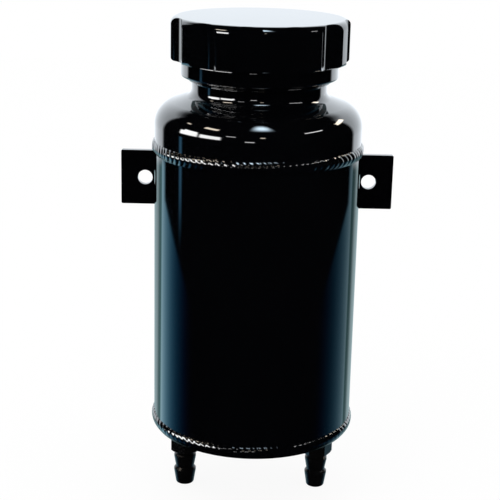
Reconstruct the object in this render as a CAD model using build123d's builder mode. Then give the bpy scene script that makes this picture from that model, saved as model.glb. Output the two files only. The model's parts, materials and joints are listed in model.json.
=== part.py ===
"""Coolant expansion tank: welded tank, fluted screw cap, two mounting tabs and two hose barbs."""
import os
from math import sqrt

from build123d import *

# Units are millimetres. Heights are above the underside of the base plate.
# The origin lies midway between the two tab holes, on the rear faces of the tabs.

# Tank shell
tube_radius = 50.8
wall = 2.0
seam_height = 145.1
base_thickness = 3.0
base_edge_step = 1.5

# Spun shoulder and filler neck
skirt_rise = 19.1
slope_rise = 6.4
shoulder_round = 11.6
neck_round = 4.0
neck_radius = 32.9
neck_rise = 8.9

# Filler collar, with the neck standing in a socket on its underside
collar_rim_width = 5.3
collar_height = 7.8
collar_bore_step = 0.7
collar_round = 1.0
collar_socket_depth = 2.0

# Screw cap, with a hollow plug that screws into the collar
cap_overhang = 5.2
cap_height = 20.7
cap_top_round = 3.4
cap_bottom_round = 1.5
cap_roof_thickness = 9.7
flute_count = 12
flute_depth = 3.0
flute_cutter_radius = 16.0
flute_edge_round = 1.0
flute_start_angle = 21.5
thread_depth = 1.1
plug_length = 12.0
plug_lead = 1.0
plug_wall = 4.6
hollow_round = 2.5

# Seal ring, squeezed flat in a groove of the cap
seal_width = 3.4
seal_squeezed_height = 2.4
seal_side_clearance = 0.3

# Mounting tabs
tab_setback = 26.0
tab_thickness = 3.0
tab_height = 28.4
tab_hole_drop = 23.5
tab_hole_reach = 6.9
tab_hole_radius = 3.8
tab_edge_margin = 12.4
tab_corner_round = 0.8

# Threaded bungs in the base
port_inset = 16.2
bung_radius = 9.5
bung_drop = 10.7
bung_rise = 5.0
bung_thread_radius = 6.6
bung_thread_depth = 11.2
bung_passage_radius = 3.4

# Hose barbs
thread_clearance = 0.05
shank_length = 10.0
hex_across_flats = 14.3
hex_height = 8.0
hex_corner_cut = 0.7
feed_hex_turn = 30
overflow_hex_turn = 0
barb_root_radius = 4.6
barb_waist_radius = 4.75
barb_ridge_radius = 5.75
barb_neck_length = 1.9
barb_lead_length = 1.2
barb_land_length = 1.0
barb_pitch = 7.8
barb_tip_length = 9.4
barb_tip_round = 1.0
barb_bore_radius = 3.4

# Overflow standpipe inside the tank
standpipe_radius = 4.75
standpipe_wall = 1.2
standpipe_rise_past_seam = 6.9

# Weld beads
seam_bead_half_width = 3.3
seam_bead_rise = 1.5
base_bead_height = 3.5
base_bead_rise = 1.1
base_bead_widest_drop = 0.4
base_bead_reach = 2.1
base_bead_drop = 0.5
collar_bead_leg = 2.8
bung_bead_leg = 2.6
bead_bulge = 0.35
tab_bead_radius = 4.2
tab_bead_short = 1.0

# Sizes that follow from the ones above
tab_rear_setback = tab_setback + tab_thickness
axis_y = -tab_rear_setback
tube_bore_radius = tube_radius - wall
base_radius = tube_radius - base_edge_step
skirt_end_height = seam_height + skirt_rise
slope_end_height = skirt_end_height + slope_rise
collar_bottom_height = slope_end_height + neck_rise
collar_top_height = collar_bottom_height + collar_height
neck_top_height = collar_bottom_height + collar_socket_depth
collar_radius = neck_radius + collar_rim_width
collar_bore_radius = neck_radius - wall - collar_bore_step
cap_radius = collar_radius + cap_overhang
cap_top_height = collar_top_height + cap_height
plug_radius = collar_bore_radius - thread_depth
plug_bottom_height = collar_top_height - plug_length
plug_hollow_radius = plug_radius - plug_wall
seal_centre_radius = (collar_bore_radius + collar_radius) / 2
tab_hole_height = seam_height - tab_hole_drop
tab_hole_offset = tube_radius + tab_hole_reach
tab_outer_edge = tab_hole_offset + tab_edge_margin
base_z = -tab_hole_height
port_offset = tube_radius - port_inset
hex_bottom = -(bung_drop + hex_height)
hex_point_radius = hex_across_flats / sqrt(3)
standpipe_foot_height = bung_thread_depth - bung_drop
standpipe_top_height = seam_height + standpipe_rise_past_seam


def upright(x=0):
    """Upright half-section plane through a vertical axis at x: local x is radius, local y is height."""
    return Plane(origin=(x, axis_y, base_z), x_dir=(1, 0, 0), z_dir=(0, -1, 0))


def spindle(x=0):
    """Vertical axis at x in the plane of the tank axis."""
    return Axis((x, axis_y, base_z), (0, 0, 1))


def level(height, x=0):
    """Horizontal plane at a height, centred on the vertical axis at x."""
    return Plane(origin=(x, axis_y, base_z + height))


# Tube of the tank, standing on the base plate
with BuildPart() as tank_tube:
    with BuildSketch(level(base_thickness)):
        Circle(tube_radius)
        Circle(tube_bore_radius, mode=Mode.SUBTRACT)
    extrude(amount=seam_height - base_thickness)

# Spun shoulder, one wall thick, from the seam up to the collar
with BuildPart() as spun_shoulder:
    with BuildSketch(upright()):
        with BuildLine() as shoulder_profile:
            Polyline(
                (tube_radius, seam_height),
                (tube_radius, skirt_end_height),
                (neck_radius, slope_end_height),
                (neck_radius, neck_top_height),
            )
            shoulder_corner = shoulder_profile.vertices().sort_by(Axis.Y)[1]
            fillet(shoulder_corner, shoulder_round)
            neck_corner = shoulder_profile.vertices().sort_by(Axis.Y)[-2]
            fillet(neck_corner, neck_round)
            offset(amount=wall, side=Side.LEFT)
        make_face()
    revolve(axis=spindle())

# Base plate with a hole for each bung
with BuildPart() as base_plate:
    with BuildSketch(level(0)):
        Circle(base_radius)
        with Locations((-port_offset, 0), (port_offset, 0)):
            Circle(bung_radius, mode=Mode.SUBTRACT)
    extrude(amount=base_thickness)

# Filler collar
with BuildPart() as filler_collar:
    with BuildSketch(level(collar_bottom_height)):
        Circle(collar_radius)
        Circle(collar_bore_radius, mode=Mode.SUBTRACT)
    extrude(amount=collar_height)
    with BuildSketch(level(collar_bottom_height)):
        Circle(neck_radius)
    extrude(amount=collar_socket_depth, mode=Mode.SUBTRACT)
    rim_edges = filler_collar.edges().filter_by(GeomType.CIRCLE).sort_by(SortBy.RADIUS)[-2:]
    fillet(rim_edges, collar_round)

# Screw cap: turned outside, fluted grip, seal groove and hollow plug
with BuildPart() as screw_cap:
    with BuildSketch(upright()):
        with Locations((0, collar_top_height)):
            Rectangle(cap_radius, cap_height, align=(Align.MIN, Align.MIN))
    revolve(axis=spindle())
    cap_rims = screw_cap.edges().filter_by(GeomType.CIRCLE).sort_by(Axis.Z)
    fillet(cap_rims[-1], cap_top_round)
    fillet(screw_cap.edges().filter_by(GeomType.CIRCLE).sort_by(Axis.Z)[0], cap_bottom_round)
    with BuildSketch(level(collar_top_height)) as grip_outline:
        Circle(cap_radius)
        with PolarLocations(cap_radius - flute_depth + flute_cutter_radius, flute_count, flute_start_angle):
            Circle(flute_cutter_radius, mode=Mode.SUBTRACT)
        fillet(grip_outline.vertices(), flute_edge_round)
    extrude(amount=cap_height, mode=Mode.INTERSECT)
    with BuildSketch(level(plug_bottom_height)):
        Circle(plug_radius)
    extrude(amount=plug_length)
    chamfer(screw_cap.edges().filter_by(GeomType.CIRCLE).sort_by(Axis.Z)[0], plug_lead)
    with BuildSketch(level(plug_bottom_height)):
        Circle(plug_hollow_radius)
    extrude(amount=plug_length + cap_height - cap_roof_thickness, mode=Mode.SUBTRACT)
    hollow_roof = screw_cap.faces().filter_by(Axis.Z).sort_by(Axis.Z)[-2]
    fillet(hollow_roof.edges(), hollow_round)
    with BuildSketch(level(collar_top_height)):
        Circle(seal_centre_radius + seal_width / 2 + seal_side_clearance)
        Circle(seal_centre_radius - seal_width / 2 - seal_side_clearance, mode=Mode.SUBTRACT)
    extrude(amount=seal_squeezed_height, mode=Mode.SUBTRACT)

# Seal ring, flat where it is squeezed and round at its sides
with BuildPart() as cap_seal_ring:
    with BuildSketch(upright()):
        with Locations((seal_centre_radius, collar_top_height + seal_squeezed_height / 2)):
            SlotOverall(seal_width, seal_squeezed_height)
    revolve(axis=spindle())

# Seam weld between the tube and the shoulder
with BuildPart() as shoulder_seam_weld:
    with BuildSketch(upright()):
        with BuildLine():
            seam_crown = ThreePointArc(
                (tube_radius, seam_height - seam_bead_half_width),
                (tube_radius + seam_bead_rise, seam_height),
                (tube_radius, seam_height + seam_bead_half_width),
            )
            Line(seam_crown @ 1, seam_crown @ 0)
        make_face()
    revolve(axis=spindle())

# Corner weld between the tube and the base plate
with BuildPart() as base_seam_weld:
    with BuildSketch(upright()):
        with BuildLine():
            base_crown = ThreePointArc(
                (tube_radius, base_thickness + base_bead_height),
                (tube_radius + base_bead_rise, base_thickness - base_bead_widest_drop),
                (base_radius - base_bead_reach, -base_bead_drop),
            )
            Polyline(
                base_crown @ 1,
                (base_radius - base_bead_reach, 0),
                (base_radius, 0),
                (base_radius, base_thickness),
                (tube_radius, base_thickness),
                base_crown @ 0,
            )
        make_face()
    revolve(axis=spindle())


def fillet_ring(x, inner_radius, face_height, leg):
    """Ring of weld in the corner of a round wall and the flat face above it."""
    with BuildPart() as ring:
        with BuildSketch(upright(x)):
            with BuildLine():
                wall_end = (inner_radius, face_height - leg)
                face_end = (inner_radius + leg, face_height)
                bulge = leg / 2 + bead_bulge
                crown = (inner_radius + bulge, face_height - bulge)
                ThreePointArc(wall_end, crown, face_end)
                Polyline(face_end, (inner_radius, face_height), wall_end)
            make_face()
        revolve(axis=spindle(x))
    return ring


# Weld rings under the collar and round the bungs
collar_weld = fillet_ring(0, neck_radius, collar_bottom_height, collar_bead_leg)
feed_bung_weld = fillet_ring(-port_offset, bung_radius, 0, bung_bead_leg)
overflow_bung_weld = fillet_ring(port_offset, bung_radius, 0, bung_bead_leg)


def mount_tab(side):
    """Flat tab behind the tank axis, cut to the curve of the tube; side is -1 for left, 1 for right."""
    with BuildPart() as tab:
        with BuildSketch(Plane.XZ):
            with Locations((side * tab_outer_edge / 2, 0)):
                Rectangle(tab_outer_edge, tab_height)
            with Locations((side * tab_hole_offset, 0)):
                Circle(tab_hole_radius, mode=Mode.SUBTRACT)
        extrude(amount=tab_thickness)
        with BuildSketch(level(0)):
            Circle(tube_radius)
        extrude(amount=cap_top_height, mode=Mode.SUBTRACT)
        outer_face = tab.faces().sort_by(Axis.X)[-1 if side > 0 else 0]
        fillet(outer_face.edges().filter_by(Axis.Y), tab_corner_round)
    return tab


left_mount_tab = mount_tab(-1)
right_mount_tab = mount_tab(1)


def tab_weld(side, setback, tab_lies):
    """Upright weld in the corner of the tube and one face of a tab; tab_lies says on which side of it."""
    weld_length = tab_height - 2 * tab_bead_short
    corner_x = side * sqrt(tube_radius**2 - setback**2)
    with BuildPart() as weld:
        with BuildSketch(level(tab_hole_height - weld_length / 2)):
            with Locations((corner_x, setback)):
                Circle(tab_bead_radius)
                Rectangle(
                    2 * tab_bead_radius,
                    2 * tab_bead_radius,
                    align=(Align.CENTER, tab_lies),
                    mode=Mode.SUBTRACT,
                )
            Circle(tube_radius, mode=Mode.SUBTRACT)
        extrude(amount=weld_length)
    return weld


left_tab_front_weld = tab_weld(-1, tab_setback, Align.MIN)
left_tab_rear_weld = tab_weld(-1, tab_rear_setback, Align.MAX)
right_tab_front_weld = tab_weld(1, tab_setback, Align.MIN)
right_tab_rear_weld = tab_weld(1, tab_rear_setback, Align.MAX)


def bung(x, passage_radius):
    """Threaded bung through the base plate, with a passage up into the tank."""
    with BuildPart() as body:
        with BuildSketch(level(-bung_drop, x)):
            Circle(bung_radius)
        extrude(amount=bung_drop + bung_rise)
        with BuildSketch(level(-bung_drop, x)):
            Circle(bung_thread_radius)
        extrude(amount=bung_thread_depth, mode=Mode.SUBTRACT)
        with BuildSketch(level(-bung_drop, x)):
            Circle(passage_radius)
        extrude(amount=bung_drop + bung_rise, mode=Mode.SUBTRACT)
    return body


feed_bung = bung(-port_offset, bung_passage_radius)
overflow_bung = bung(port_offset, standpipe_radius)


def hose_barb(x, hex_turn):
    """Screwed hose fitting: shank, hexagon and a two-ridge barb with a bore right through."""
    first_ridge = hex_bottom - barb_neck_length
    second_ridge = first_ridge - barb_pitch
    end = second_ridge - barb_tip_length
    with BuildPart() as barb:
        with BuildSketch(level(hex_bottom, x)):
            RegularPolygon(hex_across_flats / 2, 6, major_radius=False, rotation=hex_turn)
        extrude(amount=hex_height)
        with BuildSketch(upright(x)) as hex_blank:
            with Locations((0, hex_bottom)):
                Rectangle(hex_point_radius, hex_height, align=(Align.MIN, Align.MIN))
            chamfer(hex_blank.vertices().sort_by(Axis.X)[-2:], hex_corner_cut)
        revolve(axis=spindle(x), mode=Mode.INTERSECT)
        with BuildSketch(level(-bung_drop, x)):
            Circle(bung_thread_radius - thread_clearance)
        extrude(amount=shank_length)
        with BuildSketch(upright(x)):
            with BuildLine():
                Polyline(
                    (0, hex_bottom),
                    (barb_root_radius, hex_bottom),
                    (barb_root_radius, first_ridge),
                    (barb_ridge_radius, first_ridge - barb_lead_length),
                    (barb_ridge_radius, first_ridge - barb_lead_length - barb_land_length),
                    (barb_waist_radius, second_ridge),
                    (barb_ridge_radius, second_ridge - barb_lead_length),
                    (barb_ridge_radius, second_ridge - barb_lead_length - barb_land_length),
                    (barb_root_radius, end),
                    (0, end),
                    close=True,
                )
            make_face()
        revolve(axis=spindle(x))
        tip_edge = barb.edges().filter_by(GeomType.CIRCLE).sort_by(Axis.Z)[0]
        fillet(tip_edge, barb_tip_round)
        with BuildSketch(level(end, x)):
            Circle(barb_bore_radius)
        extrude(amount=-end - bung_drop + shank_length, mode=Mode.SUBTRACT)
    return barb


feed_hose_barb = hose_barb(-port_offset, feed_hex_turn)
overflow_hose_barb = hose_barb(port_offset, overflow_hex_turn)

# Overflow standpipe, from the overflow bung to near the top of the tank
with BuildPart() as overflow_standpipe:
    with BuildSketch(level(standpipe_foot_height, port_offset)):
        Circle(standpipe_radius)
        Circle(standpipe_radius - standpipe_wall, mode=Mode.SUBTRACT)
    extrude(amount=standpipe_top_height - standpipe_foot_height)

# Export
pieces = {
    "tank_tube": tank_tube,
    "spun_shoulder": spun_shoulder,
    "base_plate": base_plate,
    "filler_collar": filler_collar,
    "screw_cap": screw_cap,
    "cap_seal_ring": cap_seal_ring,
    "shoulder_seam_weld": shoulder_seam_weld,
    "base_seam_weld": base_seam_weld,
    "collar_weld": collar_weld,
    "feed_bung_weld": feed_bung_weld,
    "overflow_bung_weld": overflow_bung_weld,
    "left_mount_tab": left_mount_tab,
    "right_mount_tab": right_mount_tab,
    "left_tab_front_weld": left_tab_front_weld,
    "left_tab_rear_weld": left_tab_rear_weld,
    "right_tab_front_weld": right_tab_front_weld,
    "right_tab_rear_weld": right_tab_rear_weld,
    "feed_bung": feed_bung,
    "overflow_bung": overflow_bung,
    "feed_hose_barb": feed_hose_barb,
    "overflow_hose_barb": overflow_hose_barb,
    "overflow_standpipe": overflow_standpipe,
}
os.makedirs("parts", exist_ok=True)
for label, piece in pieces.items():
    piece.part.label = label
    export_step(piece.part, f"parts/{label}.step")
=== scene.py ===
"""Looks of a coolant expansion tank: gloss black coat, rippled welds, threads and a white studio."""
import json
import math
import random
from dataclasses import dataclass

import bpy
from bpy.props import FloatProperty, FloatVectorProperty, IntProperty, PointerProperty
from mathutils import Matrix, Vector


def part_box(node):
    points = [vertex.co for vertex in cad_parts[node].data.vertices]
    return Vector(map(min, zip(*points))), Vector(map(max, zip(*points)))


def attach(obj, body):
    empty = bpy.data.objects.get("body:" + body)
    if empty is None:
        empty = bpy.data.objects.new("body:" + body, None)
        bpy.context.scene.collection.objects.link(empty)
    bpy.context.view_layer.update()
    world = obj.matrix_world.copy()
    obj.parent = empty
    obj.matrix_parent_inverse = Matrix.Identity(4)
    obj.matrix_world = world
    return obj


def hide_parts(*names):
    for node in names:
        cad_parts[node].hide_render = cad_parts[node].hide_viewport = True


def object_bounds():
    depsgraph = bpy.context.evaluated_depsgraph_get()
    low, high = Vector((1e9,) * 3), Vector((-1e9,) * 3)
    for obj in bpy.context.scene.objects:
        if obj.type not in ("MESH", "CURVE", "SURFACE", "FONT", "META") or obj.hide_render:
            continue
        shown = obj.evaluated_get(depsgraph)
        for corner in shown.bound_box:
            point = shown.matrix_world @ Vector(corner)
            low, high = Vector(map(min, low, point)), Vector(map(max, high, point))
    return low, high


bl_info = {
    "name": "Coolant expansion tank looks",
    "version": (1, 0, 0),
    "blender": (4, 5, 0),
    "location": "3D View > Sidebar > Tank",
    "description": "Dresses the packed coolant expansion tank and sets up its studio",
    "category": "Object",
}

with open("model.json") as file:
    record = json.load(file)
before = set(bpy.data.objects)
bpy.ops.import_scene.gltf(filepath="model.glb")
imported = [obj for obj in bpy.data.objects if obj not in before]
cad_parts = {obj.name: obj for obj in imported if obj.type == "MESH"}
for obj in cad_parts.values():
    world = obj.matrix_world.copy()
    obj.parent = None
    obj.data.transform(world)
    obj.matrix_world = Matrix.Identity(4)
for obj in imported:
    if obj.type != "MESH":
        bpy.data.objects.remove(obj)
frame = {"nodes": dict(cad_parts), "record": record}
cad_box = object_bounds()

# Places and sizes that follow from the frame, in metres
TUBE_LOW, TUBE_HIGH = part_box("tank_tube")
BASE_LOW, BASE_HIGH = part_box("base_plate")
COLLAR_LOW, COLLAR_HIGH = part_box("filler_collar")
CAP_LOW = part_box("screw_cap")[0]
AXIS = ((TUBE_LOW + TUBE_HIGH) / 2).to_2d()
TUBE_RADIUS = (TUBE_HIGH.x - TUBE_LOW.x) / 2
BASE_RADIUS = (BASE_HIGH.x - BASE_LOW.x) / 2
SEAM_HEIGHT = TUBE_HIGH.z
THREAD_PITCH = frame["record"]["behaviour"]["couplings"][0]["ratio"] * 2 * math.pi

# Sizes of the pieces and of their marks, in metres
MM = 0.001
PLUG_RADIUS, PLUG_CREST_RADIUS = 29.1 * MM, 29.85 * MM
BORE_RADIUS, BORE_CREST_RADIUS = 30.2 * MM, 29.45 * MM
THREAD_HALF_ROOT, THREAD_HALF_CREST = 0.75 * MM, 0.25 * MM
PLUG_THREAD_LOW, PLUG_THREAD_HIGH = CAP_LOW.z + 2.0 * MM, COLLAR_HIGH.z - 1.6 * MM
BORE_THREAD_LOW, BORE_THREAD_HIGH = COLLAR_LOW.z + 3.0 * MM, COLLAR_HIGH.z - 1.2 * MM
BASE_BEAD_WIDEST = BASE_HIGH.z - 0.4 * MM
BASE_BEAD_TOE = (BASE_RADIUS - 2.1 * MM, BASE_LOW.z - 0.5 * MM)
FILLET_BULGE = 0.35 * MM
TAB_BEAD_RADIUS = 4.2 * MM
MOTTLE_SIZE = 30 * MM
SPIN_RING_SIZE, SPIN_RING_DEPTH = 1.6 * MM, 0.0012 * MM
TURN_RING_SIZE, TURN_RING_DEPTH = 0.7 * MM, 0.0006 * MM
HEAT_RIPPLE_SIZE, HEAT_RIPPLE_DEPTH, HEAT_SINK = 4.2 * MM, 0.30 * MM, 0.10 * MM
HEAT_HALF_CORE, HEAT_HALF_HEIGHT = 4 * MM, 15 * MM
HEAT_INNER, HEAT_OUTER = TUBE_RADIUS - 4.5 * MM, TUBE_RADIUS - 0.3 * MM
BARB_RING_SIZE, BARB_RING_DEPTH = 0.35 * MM, 0.004 * MM
BARB_GRAIN_SIZE, BARB_GRAIN_DEPTH = 0.9 * MM, 0.002 * MM
DRAWN_LINE_SIZE, DRAWN_LINE_DEPTH = 0.4 * MM, 0.006 * MM
RUBBER_BLOOM_SIZE = 4 * MM
RUBBER_PORE_SIZE, RUBBER_PORE_DEPTH = 0.4 * MM, 0.01 * MM


# Colours and roughness of the finishes
ROUGHNESS_SPREAD = 0.03
BARB_SHADE, BARB_ROUGHNESS, BARB_ROUGHNESS_SPREAD = (0.002, 0.002, 0.002, 1.0), 0.20, 0.10
PIPE_SHADE, PIPE_ROUGHNESS, PIPE_ROUGHNESS_SPREAD = 0.8, 0.28, 0.14
DRAWN_STRETCH = (1.0, 1.0, 0.02)
BLOOM_COLOUR, RUBBER_ROUGHNESS, RUBBER_ROUGHNESS_SPREAD = (0.03, 0.03, 0.031, 1.0), 0.42, 0.2

# Fineness and form of the weld beads and threads
RIPPLE_STEPS = 10
SECTION_STEPS = 14
HUMP_SHARPNESS = 2.2
BED_DEPTH = 0.00006
ROOT_BEDS = 6
END_ROUNDING, END_SWELL = 0.7, 0.25
THREAD_STEPS, THREAD_SINK = 120, 0.15
TAPERS_PER_TURN = 5


# Settings

class CoatSettings(bpy.types.PropertyGroup):
    """Colour and finish of the coated pieces."""

    coat_colour: FloatVectorProperty(
        name="Coat colour", description="Colour of the gloss coat", subtype="COLOR", size=4,
        default=(0.0012, 0.0013, 0.0018, 1.0), min=0.0, max=1.0)
    coat_shade: FloatVectorProperty(
        name="Coat shade", description="Darker colour in the coat's slow mottle", subtype="COLOR", size=4,
        default=(0.0006, 0.0007, 0.0010, 1.0), min=0.0, max=1.0)
    coat_roughness: FloatProperty(
        name="Coat roughness", description="Roughness of the gloss coat", default=0.055, min=0.0, max=1.0)
    peel_size: FloatProperty(
        name="Peel size", description="Width of one dimple of the coat's orange peel",
        unit="LENGTH", default=0.0022)
    peel_depth: FloatProperty(
        name="Peel depth", description="Depth of the coat's orange peel", unit="LENGTH", default=0.0000016)
    barb_colour: FloatVectorProperty(
        name="Barb colour", description="Colour of the satin hose barbs", subtype="COLOR", size=4,
        default=(0.0016, 0.0016, 0.0018, 1.0), min=0.0, max=1.0)
    pipe_colour: FloatVectorProperty(
        name="Pipe colour", description="Colour of the bare drawn pipe", subtype="COLOR", size=4,
        default=(0.72, 0.73, 0.74, 1.0), min=0.0, max=1.0)
    seal_colour: FloatVectorProperty(
        name="Seal colour", description="Colour of the rubber seal ring", subtype="COLOR", size=4,
        default=(0.018, 0.018, 0.018, 1.0), min=0.0, max=1.0)


class WeldSettings(bpy.types.PropertyGroup):
    """Ripples of the weld beads."""

    ripple_pitch: FloatProperty(
        name="Ripple pitch", description="Distance from one ripple to the next",
        unit="LENGTH", default=0.0034)
    ripple_wander: FloatProperty(
        name="Ripple wander", description="Uneven spacing, as a share of the pitch",
        default=0.28, min=0.0, max=0.4)
    crown_dip: FloatProperty(
        name="Crown dip", description="Share of the crown's height lost between ripples",
        default=0.30, min=0.0, max=0.9)
    toe_dip: FloatProperty(
        name="Toe dip", description="Share of the bead's width lost between ripples",
        default=0.10, min=0.0, max=0.9)
    bow: FloatProperty(
        name="Bow", description="How far a ripple curves ahead at the crown, in pitches", default=0.75)
    lowest_ripple: FloatProperty(
        name="Lowest ripple", description="Height of the lowest ripple, as a share of a full one",
        default=0.5, min=0.0, max=1.0)
    base_ripple: FloatProperty(
        name="Base ripple", description="Strength of the ripples round the base",
        default=0.5, min=0.0, max=1.0)
    collar_ripple: FloatProperty(
        name="Collar ripple", description="Strength of the ripples under the collar",
        default=0.08, min=0.0, max=1.0)
    seed: IntProperty(name="Seed", description="Start of the uneven spacing", default=7, min=0)


class StudioSettings(bpy.types.PropertyGroup):
    """Camera, lamps and white surroundings."""

    camera_distance: FloatProperty(
        name="Camera distance", description="Level distance from the tank's axis",
        unit="LENGTH", default=0.629)
    camera_height: FloatProperty(
        name="Camera height", description="Height above the underside of the base",
        unit="LENGTH", default=0.2795)
    camera_offset: FloatProperty(
        name="Camera offset", description="Distance to the right of the tank's axis",
        unit="LENGTH", default=-0.0027)
    camera_pitch: FloatProperty(
        name="Camera pitch", description="Angle below level", unit="ROTATION", default=math.radians(16.66))
    camera_roll: FloatProperty(
        name="Camera roll", description="Turn about the line of sight",
        unit="ROTATION", default=math.radians(1.30))
    focal_length: FloatProperty(
        name="Focal length", description="In millimetres, on a sensor 36 mm wide", default=93.67)
    fill_level: FloatProperty(
        name="Fill level", description="Plain light from all sides", default=0.95, min=0.0)
    lamp_azimuth: FloatProperty(
        name="Lamp azimuth", description="Turn of the lamp from the camera's side, positive to the right",
        unit="ROTATION", default=math.radians(-35))
    lamp_elevation: FloatProperty(
        name="Lamp elevation", description="Angle of the lamp above level",
        unit="ROTATION", default=math.radians(58))
    lamp_distance: FloatProperty(
        name="Lamp distance", description="Distance of the lamp from the tank", unit="LENGTH", default=1.2)
    lamp_size: FloatProperty(
        name="Lamp size", description="Side of the square lamp", unit="LENGTH", default=0.5)
    lamp_power: FloatProperty(name="Lamp power", description="In watts", default=2.0, min=0.0)
    floor_half_width: FloatProperty(
        name="Floor half width", description="From the tank's axis to the floor's edge",
        unit="LENGTH", default=1.5)
    floor_glow: FloatProperty(
        name="Floor glow", description="Share of plain white in the floor that the camera sees",
        default=0.92,
        min=0.0, max=1.0)


# Shader expressions

class Signal:
    """A shader socket that takes Python arithmetic."""

    def __init__(self, board, socket):
        self.board = board
        self.socket = socket

    def maths(self, operation, first, second=0.0):
        return self.board.maths(operation, first, second)

    def __add__(self, other):
        return self.maths("ADD", self, other)

    __radd__ = __add__

    def __sub__(self, other):
        return self.maths("SUBTRACT", self, other)

    def __rsub__(self, other):
        return self.maths("SUBTRACT", other, self)

    def __mul__(self, other):
        return self.maths("MULTIPLY", self, other)

    __rmul__ = __mul__

    def __truediv__(self, other):
        return self.maths("DIVIDE", self, other)

    def __rtruediv__(self, other):
        return self.maths("DIVIDE", other, self)

    def __pow__(self, other):
        return self.maths("POWER", self, other)

    def __abs__(self):
        return self.maths("ABSOLUTE", self)


# Sockets of a Mix node that mixes colours, which share their names with those of its other types
MIX_SHARE, MIX_FIRST, MIX_SECOND, MIX_RESULT = 0, 6, 7, 2


class Board:
    """A node tree with one method that adds its nodes."""

    def __init__(self, tree):
        tree.nodes.clear()
        self.tree = tree

    def add(self, kind, settings=None, sockets=None, out=0):
        """Adds a node, sets its settings, then its sockets, and gives one output as a signal."""
        node = self.tree.nodes.new(kind)
        for name, value in (settings or {}).items():
            setattr(node, name, value)
        for name, value in (sockets or {}).items():
            if isinstance(value, Signal):
                self.tree.links.new(value.socket, node.inputs[name])
            else:
                node.inputs[name].default_value = value
        return Signal(self, node.outputs[out]) if len(node.outputs) else None

    def maths(self, operation, first, second=0.0):
        """Result of a Math node on one or two values."""
        return self.add("ShaderNodeMath", {"operation": operation}, {0: first, 1: second})

    def smooth_step(self, value, low, high):
        """0 below low, 1 above high, and a smooth rise between."""
        ends = {"Value": value, "From Min": low, "From Max": high}
        return self.add("ShaderNodeMapRange", {"interpolation_type": "SMOOTHSTEP"}, ends)

    def noise(self, coordinates, size, detail=2.0, roughness=0.5):
        """Noise from 0 to 1 whose features are about size across."""
        sockets = {"Vector": coordinates, "Scale": 1 / size, "Detail": detail, "Roughness": roughness}
        return self.add("ShaderNodeTexNoise", None, sockets, "Fac")

    def scale(self, vector, level):
        """A vector or colour times a value."""
        return self.add("ShaderNodeVectorMath", {"operation": "SCALE"}, {0: vector, "Scale": level})

    def mix_colour(self, share, first, second):
        """Colour between first and second."""
        sockets = {MIX_SHARE: share, MIX_FIRST: first, MIX_SECOND: second}
        return self.add("ShaderNodeMix", {"data_type": "RGBA"}, sockets, MIX_RESULT)


def new_board(name):
    """A new material and the board of its node tree."""
    material = bpy.data.materials.new(name)
    material.use_nodes = True
    return material, Board(material.node_tree)


def object_place(board):
    """Object coordinates as a vector, and as x, y and z."""
    place = board.add("ShaderNodeTexCoord", None, None, "Object")
    parts = [board.add("ShaderNodeSeparateXYZ", None, {0: place}, axis) for axis in "XYZ"]
    return place, parts


def ring_distance(board, x, y):
    """Distance from the tank's axis."""
    across = x - AXIS.x
    deep = y - AXIS.y
    return (across * across + deep * deep) ** 0.5


def level_rings(board, z, size, detail, roughness):
    """Noise that changes with height alone, which makes rings on an upright piece."""
    upright = board.add("ShaderNodeCombineXYZ", None, {"Z": z})
    return board.noise(upright, size, detail, roughness)


# Finishes

def gloss_coat(name, settings, extra_height=None):
    """Gloss powder coat with orange peel; extra_height adds a piece's own surface marks, in metres."""
    material, board = new_board(name)
    place, (x, y, z) = object_place(board)
    peel = board.noise(place, settings.peel_size, detail=1.5, roughness=0.4)
    mottle = board.noise(place, MOTTLE_SIZE, detail=3.0, roughness=0.55)
    height = peel * settings.peel_depth
    if extra_height:
        height = height + extra_height(board, place, x, y, z)
    normal = board.add("ShaderNodeBump", None, {"Strength": 1.0, "Distance": 1.0, "Height": height})
    colour = board.mix_colour(mottle, tuple(settings.coat_shade), tuple(settings.coat_colour))
    roughness = settings.coat_roughness + (mottle - 0.5) * ROUGHNESS_SPREAD
    shader = board.add("ShaderNodeBsdfPrincipled", None, {
        "Base Color": colour,
        "Roughness": roughness,
        "Normal": normal,
        "IOR": 1.5,
        "Coat Weight": 1.0,
        "Coat Roughness": 0.03,
        "Coat IOR": 1.65,
    })
    board.add("ShaderNodeOutputMaterial", None, {"Surface": shader})
    return material


def spun_marks(board, place, x, y, z):
    """Faint rings that the spinning tool leaves on the shoulder."""
    rings = level_rings(board, z, SPIN_RING_SIZE, detail=2.0, roughness=0.6)
    return rings * SPIN_RING_DEPTH


def tab_heat_marks(board, place, x, y, z):
    """Shrink marks that the heat of the tab welds leaves on the tube beside the tabs."""
    upright = 1 - board.smooth_step(abs(z), HEAT_HALF_CORE, HEAT_HALF_HEIGHT)
    side = board.smooth_step(abs(x), HEAT_INNER, HEAT_OUTER)
    ripples = level_rings(board, z, HEAT_RIPPLE_SIZE, detail=1.0, roughness=0.4)
    return upright * side * (ripples * HEAT_RIPPLE_DEPTH - HEAT_SINK)


def turned_marks(board, place, x, y, z):
    """Fine rings that turning leaves on the cap under its coat."""
    outward = board.add("ShaderNodeCombineXYZ", None, {"X": ring_distance(board, x, y)})
    return board.noise(outward, TURN_RING_SIZE, detail=2.0, roughness=0.6) * TURN_RING_DEPTH


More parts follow.
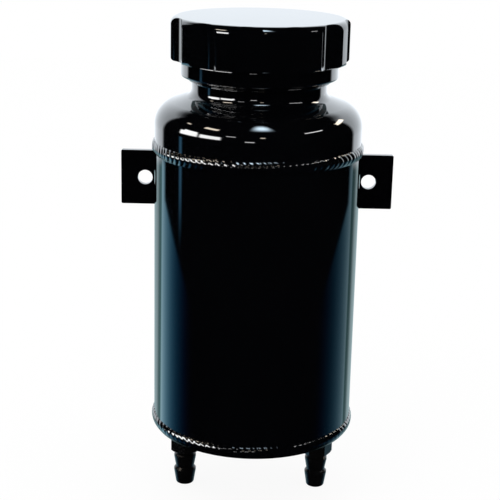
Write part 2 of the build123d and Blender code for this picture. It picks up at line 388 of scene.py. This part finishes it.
def satin_black(name, settings):
    """Satin black of the hose barbs, with fine turning rings."""
    material, board = new_board(name)
    place, (x, y, z) = object_place(board)
    rings = level_rings(board, z, BARB_RING_SIZE, detail=2.0, roughness=0.6)
    grain = board.noise(place, BARB_GRAIN_SIZE, detail=3.0, roughness=0.6)
    height = rings * BARB_RING_DEPTH + grain * BARB_GRAIN_DEPTH
    normal = board.add("ShaderNodeBump", None, {"Strength": 1.0, "Distance": 1.0, "Height": height})
    shader = board.add("ShaderNodeBsdfPrincipled", None, {
        "Base Color": board.mix_colour(grain, BARB_SHADE, tuple(settings.barb_colour)),
        "Roughness": BARB_ROUGHNESS + grain * BARB_ROUGHNESS_SPREAD,
        "Normal": normal,
    })
    board.add("ShaderNodeOutputMaterial", None, {"Surface": shader})
    return material


def drawn_aluminium(name, settings):
    """Bare drawn aluminium, with lines along the pipe."""
    material, board = new_board(name)
    place, (x, y, z) = object_place(board)
    drawn = board.add("ShaderNodeVectorMath", {"operation": "MULTIPLY"}, {0: place, 1: DRAWN_STRETCH})
    lines = board.noise(drawn, DRAWN_LINE_SIZE, detail=3.0, roughness=0.6)
    height = lines * DRAWN_LINE_DEPTH
    normal = board.add("ShaderNodeBump", None, {"Strength": 1.0, "Distance": 1.0, "Height": height})
    shade = [PIPE_SHADE * level for level in settings.pipe_colour[:3]] + [1.0]
    shader = board.add("ShaderNodeBsdfPrincipled", None, {
        "Base Color": board.mix_colour(lines, shade, tuple(settings.pipe_colour)),
        "Metallic": 1.0,
        "Roughness": PIPE_ROUGHNESS + lines * PIPE_ROUGHNESS_SPREAD,
        "Normal": normal,
    })
    board.add("ShaderNodeOutputMaterial", None, {"Surface": shader})
    return material


def moulded_rubber(name, settings):
    """Smooth moulded rubber with a faint bloom."""
    material, board = new_board(name)
    place, parts = object_place(board)
    bloom = board.noise(place, RUBBER_BLOOM_SIZE, detail=4.0, roughness=0.6)
    pores = board.noise(place, RUBBER_PORE_SIZE, detail=2.0, roughness=0.5)
    height = pores * RUBBER_PORE_DEPTH
    normal = board.add("ShaderNodeBump", None, {"Strength": 1.0, "Distance": 1.0, "Height": height})
    shader = board.add("ShaderNodeBsdfPrincipled", None, {
        "Base Color": board.mix_colour(bloom, tuple(settings.seal_colour), BLOOM_COLOUR),
        "Roughness": RUBBER_ROUGHNESS + bloom * RUBBER_ROUGHNESS_SPREAD,
        "Normal": normal,
    })
    board.add("ShaderNodeOutputMaterial", None, {"Surface": shader})
    return material


def dress(node, material):
    """Gives a carried-over node its finish."""
    slots = frame["nodes"][node].data.materials
    slots.clear()
    slots.append(material)


# Meshes

def new_piece(name, points, faces, material, body):
    """A smooth-shaded mesh piece that rides on a body."""
    mesh = bpy.data.meshes.new(name)
    mesh.from_pydata(points, [], faces)
    mesh.polygons.foreach_set("use_smooth", [True] * len(mesh.polygons))
    mesh.materials.append(material)
    mesh.update()
    piece = bpy.data.objects.new(name, mesh)
    bpy.context.scene.collection.objects.link(piece)
    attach(piece, body)
    return piece


def tube_faces(stations, around, closed):
    """Quads that join rings of points; an open run gets an end face at each end."""
    faces = []
    for station in range(stations if closed else stations - 1):
        following = (station + 1) % stations
        for spot in range(around):
            beside = (spot + 1) % around
            faces.append((station * around + spot, station * around + beside,
                          following * around + beside, following * around + spot))
    if not closed:
        faces.append(tuple(reversed(range(around))))
        faces.append(tuple((stations - 1) * around + spot for spot in range(around)))
    return faces


def arc_points(start, middle, end, steps):
    """Points on the circular arc through three points of a section."""
    (ax, ay), (bx, by), (cx, cy) = start, middle, end
    twice_area = 2 * (ax * (by - cy) + bx * (cy - ay) + cx * (ay - by))
    a2, b2, c2 = ax * ax + ay * ay, bx * bx + by * by, cx * cx + cy * cy
    ox = (a2 * (by - cy) + b2 * (cy - ay) + c2 * (ay - by)) / twice_area
    oy = (a2 * (cx - bx) + b2 * (ax - cx) + c2 * (bx - ax)) / twice_area
    radius = math.hypot(ax - ox, ay - oy)
    first = math.atan2(ay - oy, ax - ox)
    sweep = [(math.atan2(q[1] - oy, q[0] - ox) - first) % (2 * math.pi) for q in (middle, end)]
    turn = sweep[1] if sweep[0] < sweep[1] else sweep[1] - 2 * math.pi
    angles = [first + turn * step / steps for step in range(steps + 1)]
    return [(ox + radius * math.cos(angle), oy + radius * math.sin(angle)) for angle in angles]


class RippleRow:
    """Uneven ripples along a bead: says how full the bead is at a place along and across it."""

    def __init__(self, count, settings, closed, strength=1.0):
        draw = random.Random(settings.seed + count)
        widths = [1 + settings.ripple_wander * draw.uniform(-1, 1) for _ in range(count)]
        total = sum(widths)
        self.starts = [sum(widths[:index]) / total for index in range(count)] + [1.0]
        self.levels = [draw.uniform(settings.lowest_ripple, 1.0) for _ in range(count)]
        self.count = count
        self.settings = settings
        self.closed = closed
        self.strength = strength

    def fullness(self, along, across):
        """Share of the full section left at a place: along from 0 to 1, across from toe to toe 0 to 1."""
        crown = 1 - (2 * across - 1) ** 2
        place = along - self.settings.bow * crown / self.count
        place = place % 1.0 if self.closed else min(max(place, 0.0), 1.0)
        index = int(place * self.count)
        index = min(max(index, 0), self.count - 1)
        while place < self.starts[index]:
            index -= 1
        while place > self.starts[index + 1]:
            index += 1
        share = (place - self.starts[index]) / (self.starts[index + 1] - self.starts[index])
        hump = 1 - abs(2 * share - 1) ** HUMP_SHARPNESS
        dip = self.settings.toe_dip + (self.settings.crown_dip - self.settings.toe_dip) * crown
        return 1 - self.strength * dip * (1 - hump * self.levels[index])


def ring_bead(name, node, centre, root, toes, crown, material, settings, strength=1.0):
    """Rippled ring of weld round an upright axis; root, toes and crown are (radius, height)."""
    section = arc_points(toes[0], crown, toes[1], SECTION_STEPS)
    length = 2 * math.pi * crown[0]
    ripples = RippleRow(round(length / settings.ripple_pitch), settings, True, strength)
    stations = ripples.count * RIPPLE_STEPS
    middle = ((toes[0][0] + toes[1][0]) / 2 - crown[0], (toes[0][1] + toes[1][1]) / 2 - crown[1])
    scale = BED_DEPTH / math.hypot(*middle)
    bed = (middle[0] * scale, middle[1] * scale)
    points = []
    for station in range(stations):
        angle = 2 * math.pi * station / stations
        ring = []
        for step, spot in enumerate(section):
            full = ripples.fullness(station / stations, step / SECTION_STEPS)
            ring.append([root[axis] + (spot[axis] - root[axis]) * full + bed[axis] for axis in (0, 1)])
        ring.append([root[axis] + ROOT_BEDS * bed[axis] for axis in (0, 1)])
        points += [(centre[0] + radius * math.cos(angle), centre[1] + radius * math.sin(angle), height)
                   for radius, height in ring]
    faces = tube_faces(stations, SECTION_STEPS + 2, True)
    piece = new_piece(name, points, faces, material, "tank")
    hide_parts(node)
    return piece


def upright_bead(name, node, corner, first, last, radius, low, high, material, settings):
    """Rippled upright weld in a corner, between two directions seen from the corner, given as angles."""
    length = high - low
    ripples = RippleRow(round(length / settings.ripple_pitch), settings, False)
    stations = ripples.count * RIPPLE_STEPS + 1
    rounding = radius * END_ROUNDING
    points = []
    for station in range(stations):
        along = station / (stations - 1)
        height = low + length * along
        past = max(rounding - min(height - low, high - height), 0.0) / rounding
        swell = max(math.sqrt(max(1 - past * past, 0.0)), END_SWELL)
        for step in range(SECTION_STEPS + 1):
            across = step / SECTION_STEPS
            angle = first + (last - first) * across
            reach = radius * swell * ripples.fullness(along, across)
            points.append((corner[0] + reach * math.cos(angle), corner[1] + reach * math.sin(angle), height))
        middle = (first + last) / 2
        points.append((corner[0] - BED_DEPTH * ROOT_BEDS * math.cos(middle),
                       corner[1] - BED_DEPTH * ROOT_BEDS * math.sin(middle), height))
    faces = tube_faces(stations, SECTION_STEPS + 2, False)
    piece = new_piece(name, points, faces, material, "tank")
    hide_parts(node)
    return piece


def helix_ridge(name, wall, crest, half_root, half_crest, low, high, start, material, body):
    """Ridge of a right-hand screw thread between two heights, tapering to nothing at its ends."""
    turns = (high - low) / THREAD_PITCH
    steps = max(round(turns * THREAD_STEPS), 2)
    sunk = wall + (wall - crest) * THREAD_SINK
    points = []
    for step in range(steps + 1):
        along = step / steps
        angle = start + 2 * math.pi * turns * along
        height = low + (high - low) * along
        taper = min(1.0, along * turns * TAPERS_PER_TURN, (1 - along) * turns * TAPERS_PER_TURN)
        top = wall + (crest - wall) * taper
        for radius, offset in ((sunk, -half_root), (wall, -half_root), (top, -half_crest),
                               (top, half_crest), (wall, half_root), (sunk, half_root)):
            across, deep = radius * math.cos(angle), radius * math.sin(angle)
            points.append((AXIS.x + across, AXIS.y + deep, height + offset))
    piece = new_piece(name, points, tube_faces(steps + 1, 6, False), material, body)
    return piece


# Operators

class TANK_OT_coat_shell(bpy.types.Operator):
    """Coats the tube, shoulder, base, collar, tabs and bungs"""
    bl_idname = "tank.coat_shell"
    bl_label = "Coat the shell"

    def execute(self, context):
        settings = context.scene.tank_coat
        dress("tank_tube", gloss_coat("gloss_coat_tube", settings, tab_heat_marks))
        dress("spun_shoulder", gloss_coat("gloss_coat_shoulder", settings, spun_marks))
        plain = gloss_coat("gloss_coat", settings)
        for node in ("base_plate", "filler_collar", "left_mount_tab", "right_mount_tab", "feed_bung",
                     "overflow_bung"):
            dress(node, plain)
        return {"FINISHED"}


class TANK_OT_lay_ring_welds(bpy.types.Operator):
    """Lays the rippled ring welds of the seam, the base, the collar and the bungs"""
    bl_idname = "tank.lay_ring_welds"
    bl_label = "Lay the ring welds"

    def execute(self, context):
        settings = context.scene.tank_weld
        coat = bpy.data.materials["gloss_coat"]
        low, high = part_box("shoulder_seam_weld")
        seam_toes = ((TUBE_RADIUS, low.z), (TUBE_RADIUS, high.z))
        seam_crown = (high.x - AXIS.x, SEAM_HEIGHT)
        ring_bead("seam_bead", "shoulder_seam_weld", AXIS, (TUBE_RADIUS, SEAM_HEIGHT), seam_toes, seam_crown,
                  coat, settings)
        low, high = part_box("base_seam_weld")
        base_toes = (BASE_BEAD_TOE, (TUBE_RADIUS, high.z))
        base_crown = (high.x - AXIS.x, BASE_BEAD_WIDEST)
        ring_bead("base_bead", "base_seam_weld", AXIS, (TUBE_RADIUS, BASE_LOW.z), base_toes, base_crown,
                  coat, settings, settings.base_ripple)
        self.fillet_bead("collar_bead", "collar_weld", AXIS, coat, settings, settings.collar_ripple)
        for side in ("feed", "overflow"):
            low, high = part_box(side + "_bung")
            centre = ((low + high) / 2).to_2d()
            self.fillet_bead(side + "_bung_bead", side + "_bung_weld", centre, coat, settings, 1.0)
        return {"FINISHED"}

    def fillet_bead(self, name, node, centre, coat, settings, strength):
        """Ripples a weld ring that lies in the corner of a round wall and the flat face above it."""
        low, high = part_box(node)
        leg = high.z - low.z
        outer = high.x - centre.x
        inner = outer - leg
        bulge = leg / 2 + FILLET_BULGE
        ring_bead(name, node, centre, (inner, high.z), ((inner, low.z), (outer, high.z)),
                  (inner + bulge, high.z - bulge), coat, settings, strength)


class TANK_OT_lay_tab_welds(bpy.types.Operator):
    """Lays the rippled upright welds at both faces of each mounting tab"""
    bl_idname = "tank.lay_tab_welds"
    bl_label = "Lay the tab welds"

    def execute(self, context):
        settings = context.scene.tank_weld
        coat = bpy.data.materials["gloss_coat"]
        for side, turn in (("left", -1), ("right", 1)):
            tab_low, tab_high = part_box(side + "_mount_tab")
            for face, depth in (("front", tab_low.y), ("rear", tab_high.y)):
                node = f"{side}_tab_{face}_weld"
                low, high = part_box(node)
                setback = depth - AXIS.y
                corner = (AXIS.x + turn * math.sqrt(TUBE_RADIUS ** 2 - setback ** 2), depth)
                outward = math.atan2(setback, turn * math.sqrt(TUBE_RADIUS ** 2 - setback ** 2))
                lean = TAB_BEAD_RADIUS / (2 * TUBE_RADIUS)
                ahead = -1 if face == "front" else 1
                tangent = outward + turn * ahead * (math.pi / 2 + lean)
                along_tab = 0.0 if turn > 0 else math.pi
                turn_to = (tangent - along_tab + math.pi) % (2 * math.pi) - math.pi
                upright_bead(f"{side}_tab_{face}_bead", node, corner, along_tab, along_tab + turn_to,
                             TAB_BEAD_RADIUS, low.z, high.z, coat, settings)
        return {"FINISHED"}


class TANK_OT_finish_cap(bpy.types.Operator):
    """Coats the cap, cuts the threads of cap and collar, and finishes the seal ring"""
    bl_idname = "tank.finish_cap"
    bl_label = "Finish the cap"

    def execute(self, context):
        settings = context.scene.tank_coat
        cap_coat = gloss_coat("gloss_coat_cap", settings, turned_marks)
        dress("screw_cap", cap_coat)
        dress("cap_seal_ring", moulded_rubber("seal_rubber", settings))
        helix_ridge("plug_thread", PLUG_RADIUS, PLUG_CREST_RADIUS, THREAD_HALF_ROOT, THREAD_HALF_CREST,
                    PLUG_THREAD_LOW, PLUG_THREAD_HIGH, 0.0, cap_coat, "cap")
        coat = bpy.data.materials["gloss_coat"]
        lag = (BORE_THREAD_LOW - PLUG_THREAD_LOW) / THREAD_PITCH * 2 * math.pi + math.pi
        helix_ridge("collar_thread", BORE_RADIUS, BORE_CREST_RADIUS, THREAD_HALF_ROOT, THREAD_HALF_CREST,
                    BORE_THREAD_LOW, BORE_THREAD_HIGH, lag, coat, "tank")
        return {"FINISHED"}


class TANK_OT_finish_fittings(bpy.types.Operator):
    """Finishes the hose barbs and the standpipe"""
    bl_idname = "tank.finish_fittings"
    bl_label = "Finish the fittings"

    def execute(self, context):
        settings = context.scene.tank_coat
        satin = satin_black("satin_black", settings)
        for node in ("feed_hose_barb", "overflow_hose_barb"):
            dress(node, satin)
        dress("overflow_standpipe", drawn_aluminium("drawn_aluminium", settings))
        return {"FINISHED"}


@dataclass(frozen=True)
class LightBox:
    """A lamp as the gloss shows it, in degrees to the right of the camera's side and up; edge is soft."""

    azimuth: float
    elevation: float
    half_width: float
    half_height: float
    edge: float
    strength: float
    tint: tuple

    def within(self, board, angle, middle, half):
        """1 inside the box in one direction, falling to 0 over the soft edge."""
        return 1 - board.smooth_step(abs(angle - middle), half - self.edge, half + self.edge)

    def glow(self, board, azimuth, elevation):
        """Colour that this lamp adds in the direction given by two angles."""
        across = self.within(board, azimuth, self.azimuth, self.half_width)
        upright = self.within(board, elevation, self.elevation, self.half_height)
        level = across * upright * self.strength
        return board.scale(self.tint, level)


BLUE, COOL = (0.20, 0.60, 1.0), (0.68, 0.86, 1.0)
NEUTRAL, WARM = (1.0, 1.0, 1.0), (1.0, 0.88, 0.72)
LIGHT_BOXES = (
    LightBox(azimuth=-82, elevation=6, half_width=12, half_height=6, edge=2, strength=9, tint=NEUTRAL),
    LightBox(azimuth=-54, elevation=6, half_width=13, half_height=6, edge=2, strength=9, tint=NEUTRAL),
    LightBox(azimuth=6, elevation=64, half_width=12, half_height=9, edge=9, strength=11, tint=COOL),
    LightBox(azimuth=-94, elevation=-12, half_width=2, half_height=3, edge=1.8, strength=0.7, tint=BLUE),
    LightBox(azimuth=70, elevation=31, half_width=13, half_height=1.2, edge=0.6, strength=8, tint=NEUTRAL),
    LightBox(azimuth=122, elevation=31, half_width=10, half_height=3, edge=1, strength=8, tint=WARM),
    LightBox(azimuth=-80, elevation=14, half_width=9, half_height=2.5, edge=1.5, strength=9, tint=NEUTRAL),
    LightBox(azimuth=-62, elevation=40, half_width=10, half_height=3, edge=1.5, strength=8, tint=WARM),
    LightBox(azimuth=-98, elevation=36, half_width=3.5, half_height=1.5, edge=0.8, strength=5, tint=WARM),
    LightBox(azimuth=-30, elevation=19, half_width=5, half_height=1.2, edge=0.6, strength=5, tint=NEUTRAL),
    LightBox(azimuth=-9, elevation=0, half_width=5, half_height=1.5, edge=0.6, strength=5, tint=NEUTRAL),
    LightBox(azimuth=5, elevation=20, half_width=3, half_height=2, edge=0.8, strength=5, tint=WARM),
)


@dataclass(frozen=True)
class TableHue:
    """One colour channel of the white table as the gloss shows it."""

    gain: float
    fade: float
    most: float
    shadow: float


TABLE_HUES = {
    "X": TableHue(gain=0.66, fade=4.6, most=1.03, shadow=1.3),
    "Y": TableHue(gain=1.03, fade=3.0, most=1.10, shadow=1.0),
    "Z": TableHue(gain=1.20, fade=2.3, most=1.17, shadow=1.0),
}
BACKDROP_COLOUR = (1.03, 1.10, 1.17)

# Places on the table and the backdrop, as parts of a unit direction: y is away from the camera, z is up
TABLE_FRONT, TABLE_DEPTH, TABLE_LEAN = 0.26, 0.95, 0.12
TABLE_END = (-0.226, -0.214)
SHADOW_EDGE, SHADOW_RIM_END = (0.62, 0.68), (0.73, 0.80)
SHADOW_DEPTH, SHADOW_RIM_DEPTH = 0.56, 0.20
RIGHT_EDGE, RIGHT_DIMMING = (0.45, 0.72), 0.62
FAR_LINE_START, FAR_LINE_HEIGHT, FAR_LINE_SLOPE, FAR_LINE_SOFTNESS = 0.5, -0.25, 10.0, 0.1
UNDER_TANK = (-0.75, -0.50)
BACKDROP_EDGE, BACKDROP_TOP, BACKDROP_LEAN = (0.53, 0.63), (0.48, 0.68), 0.2


class TANK_OT_set_stage(bpy.types.Operator):
    """Sets the floor, the surroundings, the lamp and the camera"""
    bl_idname = "tank.set_stage"
    bl_label = "Set the stage"

    def execute(self, context):
        settings = context.scene.tank_studio
        self.floor(settings)
        self.surroundings(settings)
        self.lamp(settings)
        self.camera(context, settings)
        context.scene.view_settings.view_transform = "Standard"
        return {"FINISHED"}

    def floor(self, settings):
        """White floor that keeps the tank's shadow and isn't seen in the gloss."""
        half, height = settings.floor_half_width, cad_box[0].z
        corners = [(AXIS.x + along * half, AXIS.y + deep * half, height)
                   for along, deep in ((-1, -1), (1, -1), (1, 1), (-1, 1))]
        mesh = bpy.data.meshes.new("floor")
        mesh.from_pydata(corners, [], [(0, 1, 2, 3)])
        material, board = new_board("white_floor")
        seen = self.ray(board, "Is Camera Ray") + self.ray(board, "Is Transmission Ray")
        paint = board.add("ShaderNodeBsdfDiffuse", None, {"Color": (1.0, 1.0, 1.0, 1.0)})
        glow = board.add("ShaderNodeEmission", None, {"Color": (1.0, 1.0, 1.0, 1.0), "Strength": 1.0})
        share = seen * settings.floor_glow
        surface = board.add("ShaderNodeMixShader", None, {0: share, 1: paint, 2: glow})
        board.add("ShaderNodeOutputMaterial", None, {"Surface": surface})
        mesh.materials.append(material)
        floor = bpy.data.objects.new("floor", mesh)
        floor.visible_glossy = False
        bpy.context.scene.collection.objects.link(floor)

    def ray(self, board, kind):
        """1 for rays of one kind, otherwise 0."""
        return board.add("ShaderNodeLightPath", None, None, kind)

    def white_table(self, board, x, y, z):
        """White table under the tank, fading through blue to the dark room in front."""
        reach = board.maths("MAXIMUM", (y - TABLE_LEAN * z + TABLE_FRONT) / TABLE_DEPTH, 0.0)
        past_shadow_edge = board.smooth_step(y, *SHADOW_EDGE)
        shadow_rim = past_shadow_edge * (1 - board.smooth_step(y, *SHADOW_RIM_END))
        own_shadow = 1 - SHADOW_DEPTH * past_shadow_edge - SHADOW_RIM_DEPTH * shadow_rim
        right_side = 1 - RIGHT_DIMMING * board.smooth_step(x, *RIGHT_EDGE)
        far_line = board.maths("MINIMUM", (z - FAR_LINE_HEIGHT) * FAR_LINE_SLOPE, 0.0) + FAR_LINE_START
        past_far_line = board.smooth_step(y - far_line, 0.0, FAR_LINE_SOFTNESS)
        shade = right_side * past_far_line * board.smooth_step(z, *UNDER_TANK)
        levels = {}
        for channel, hue in TABLE_HUES.items():
            level = board.maths("MINIMUM", hue.gain * reach ** hue.fade, hue.most)
            levels[channel] = level * own_shadow ** hue.shadow * shade
        return board.add("ShaderNodeCombineXYZ", None, levels)

    def white_backdrop(self, board, y, z):
        """White backdrop behind the tank, with clear edges to the sides and above."""
        width = board.smooth_step(y + BACKDROP_LEAN * z, *BACKDROP_EDGE)
        height = 1 - board.smooth_step(z, *BACKDROP_TOP)
        return board.scale(BACKDROP_COLOUR, width * height)

    def surroundings(self, settings):
        """White for the camera, an even fill for the lighting, and a sheet with lamps in the gloss."""
        world = bpy.data.worlds.new("white_studio")
        world.use_nodes = True
        bpy.context.scene.world = world
        board = Board(world.node_tree)
        direction = board.add("ShaderNodeTexCoord", None, None, "Generated")
        x, y, z = [board.add("ShaderNodeSeparateXYZ", None, {0: direction}, axis) for axis in "XYZ"]
        azimuth = board.maths("ARCTAN2", x, 0 - y) * math.degrees(1)
        elevation = board.maths("ARCSINE", z) * math.degrees(1)
        past_table = board.smooth_step(z, *TABLE_END)
        table, backdrop = self.white_table(board, x, y, z), self.white_backdrop(board, y, z)
        gloss = board.mix_colour(past_table, table, backdrop)
        for box in LIGHT_BOXES:
            glow = box.glow(board, azimuth, elevation)
            gloss = board.add("ShaderNodeVectorMath", {"operation": "ADD"}, {0: gloss, 1: glow})
        fill = (settings.fill_level, settings.fill_level, settings.fill_level, 1.0)
        lit = board.mix_colour(self.ray(board, "Is Glossy Ray"), fill, gloss)
        seen = self.ray(board, "Is Camera Ray") + self.ray(board, "Is Transmission Ray")
        colour = board.mix_colour(seen, lit, (1.0, 1.0, 1.0, 1.0))
        shader = board.add("ShaderNodeBackground", None, {"Color": colour, "Strength": 1.0})
        board.add("ShaderNodeOutputWorld", None, {"Surface": shader})

    def lamp(self, settings):
        """One soft lamp from above on the left, which shapes the light and the shadow."""
        data = bpy.data.lights.new("soft_lamp", "AREA")
        data.size = settings.lamp_size
        data.energy = settings.lamp_power
        holder = bpy.data.objects.new("soft_lamp", data)
        bpy.context.scene.collection.objects.link(holder)
        turn, lift = settings.lamp_azimuth, settings.lamp_elevation
        way = Vector((math.sin(turn) * math.cos(lift), -math.cos(turn) * math.cos(lift), math.sin(lift)))
        holder.location = Vector((AXIS.x, AXIS.y, 0.0)) + way * settings.lamp_distance
        holder.rotation_euler = way.to_track_quat("Z", "Y").to_euler()
        holder.visible_camera = False
        holder.visible_glossy = False

    def camera(self, context, settings):
        """Camera at the photograph's viewing angle."""
        data = bpy.data.cameras.new("photo_camera")
        data.sensor_width = 36.0
        data.lens = settings.focal_length
        pitch, roll = settings.camera_pitch, settings.camera_roll
        ahead = Vector((0, math.cos(pitch), -math.sin(pitch)))
        level_up = Vector((0, math.sin(pitch), math.cos(pitch)))
        level_right = Vector((1, 0, 0))
        right = level_right * math.cos(roll) + level_up * math.sin(roll)
        up = level_up * math.cos(roll) - level_right * math.sin(roll)
        place = Vector((AXIS.x + settings.camera_offset, AXIS.y - settings.camera_distance,
                        BASE_LOW.z + settings.camera_height))
        camera = bpy.data.objects.new("photo_camera", data)
        columns = [list(right) + [0], list(up) + [0], list(-ahead) + [0], list(place) + [1]]
        camera.matrix_world = Matrix(columns).transposed()
        context.scene.collection.objects.link(camera)
        context.scene.camera = camera


class TANK_PT_sidebar(bpy.types.Panel):
    """Lists the tank's operators and settings"""
    bl_idname = "TANK_PT_sidebar"
    bl_label = "Coolant expansion tank"
    bl_space_type = "VIEW_3D"
    bl_region_type = "UI"
    bl_category = "Tank"

    def draw(self, context):
        for operator in OPERATORS:
            self.layout.operator(operator.bl_idname)
        for group in (context.scene.tank_coat, context.scene.tank_weld, context.scene.tank_studio):
            box = self.layout.box()
            for name in group.__annotations__:
                box.prop(group, name)


SETTINGS = {"tank_coat": CoatSettings, "tank_weld": WeldSettings, "tank_studio": StudioSettings}
OPERATORS = (TANK_OT_coat_shell, TANK_OT_lay_ring_welds, TANK_OT_lay_tab_welds, TANK_OT_finish_cap,
             TANK_OT_finish_fittings, TANK_OT_set_stage)


def register():
    """Registers the settings, the operators and the panel."""
    for name, group in SETTINGS.items():
        bpy.utils.register_class(group)
        setattr(bpy.types.Scene, name, PointerProperty(type=group))
    for operator in OPERATORS:
        bpy.utils.register_class(operator)
    bpy.utils.register_class(TANK_PT_sidebar)


def unregister():
    """Takes the panel, the operators and the settings away again."""
    bpy.utils.unregister_class(TANK_PT_sidebar)
    for operator in OPERATORS:
        bpy.utils.unregister_class(operator)
    for name, group in SETTINGS.items():
        delattr(bpy.types.Scene, name)
        bpy.utils.unregister_class(group)


def main():
    """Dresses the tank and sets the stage."""
    register()
    bpy.ops.tank.coat_shell()
    bpy.ops.tank.lay_ring_welds()
    bpy.ops.tank.lay_tab_welds()
    bpy.ops.tank.finish_cap()
    bpy.ops.tank.finish_fittings()
    bpy.ops.tank.set_stage()


if __name__ == "__main__":
    main()
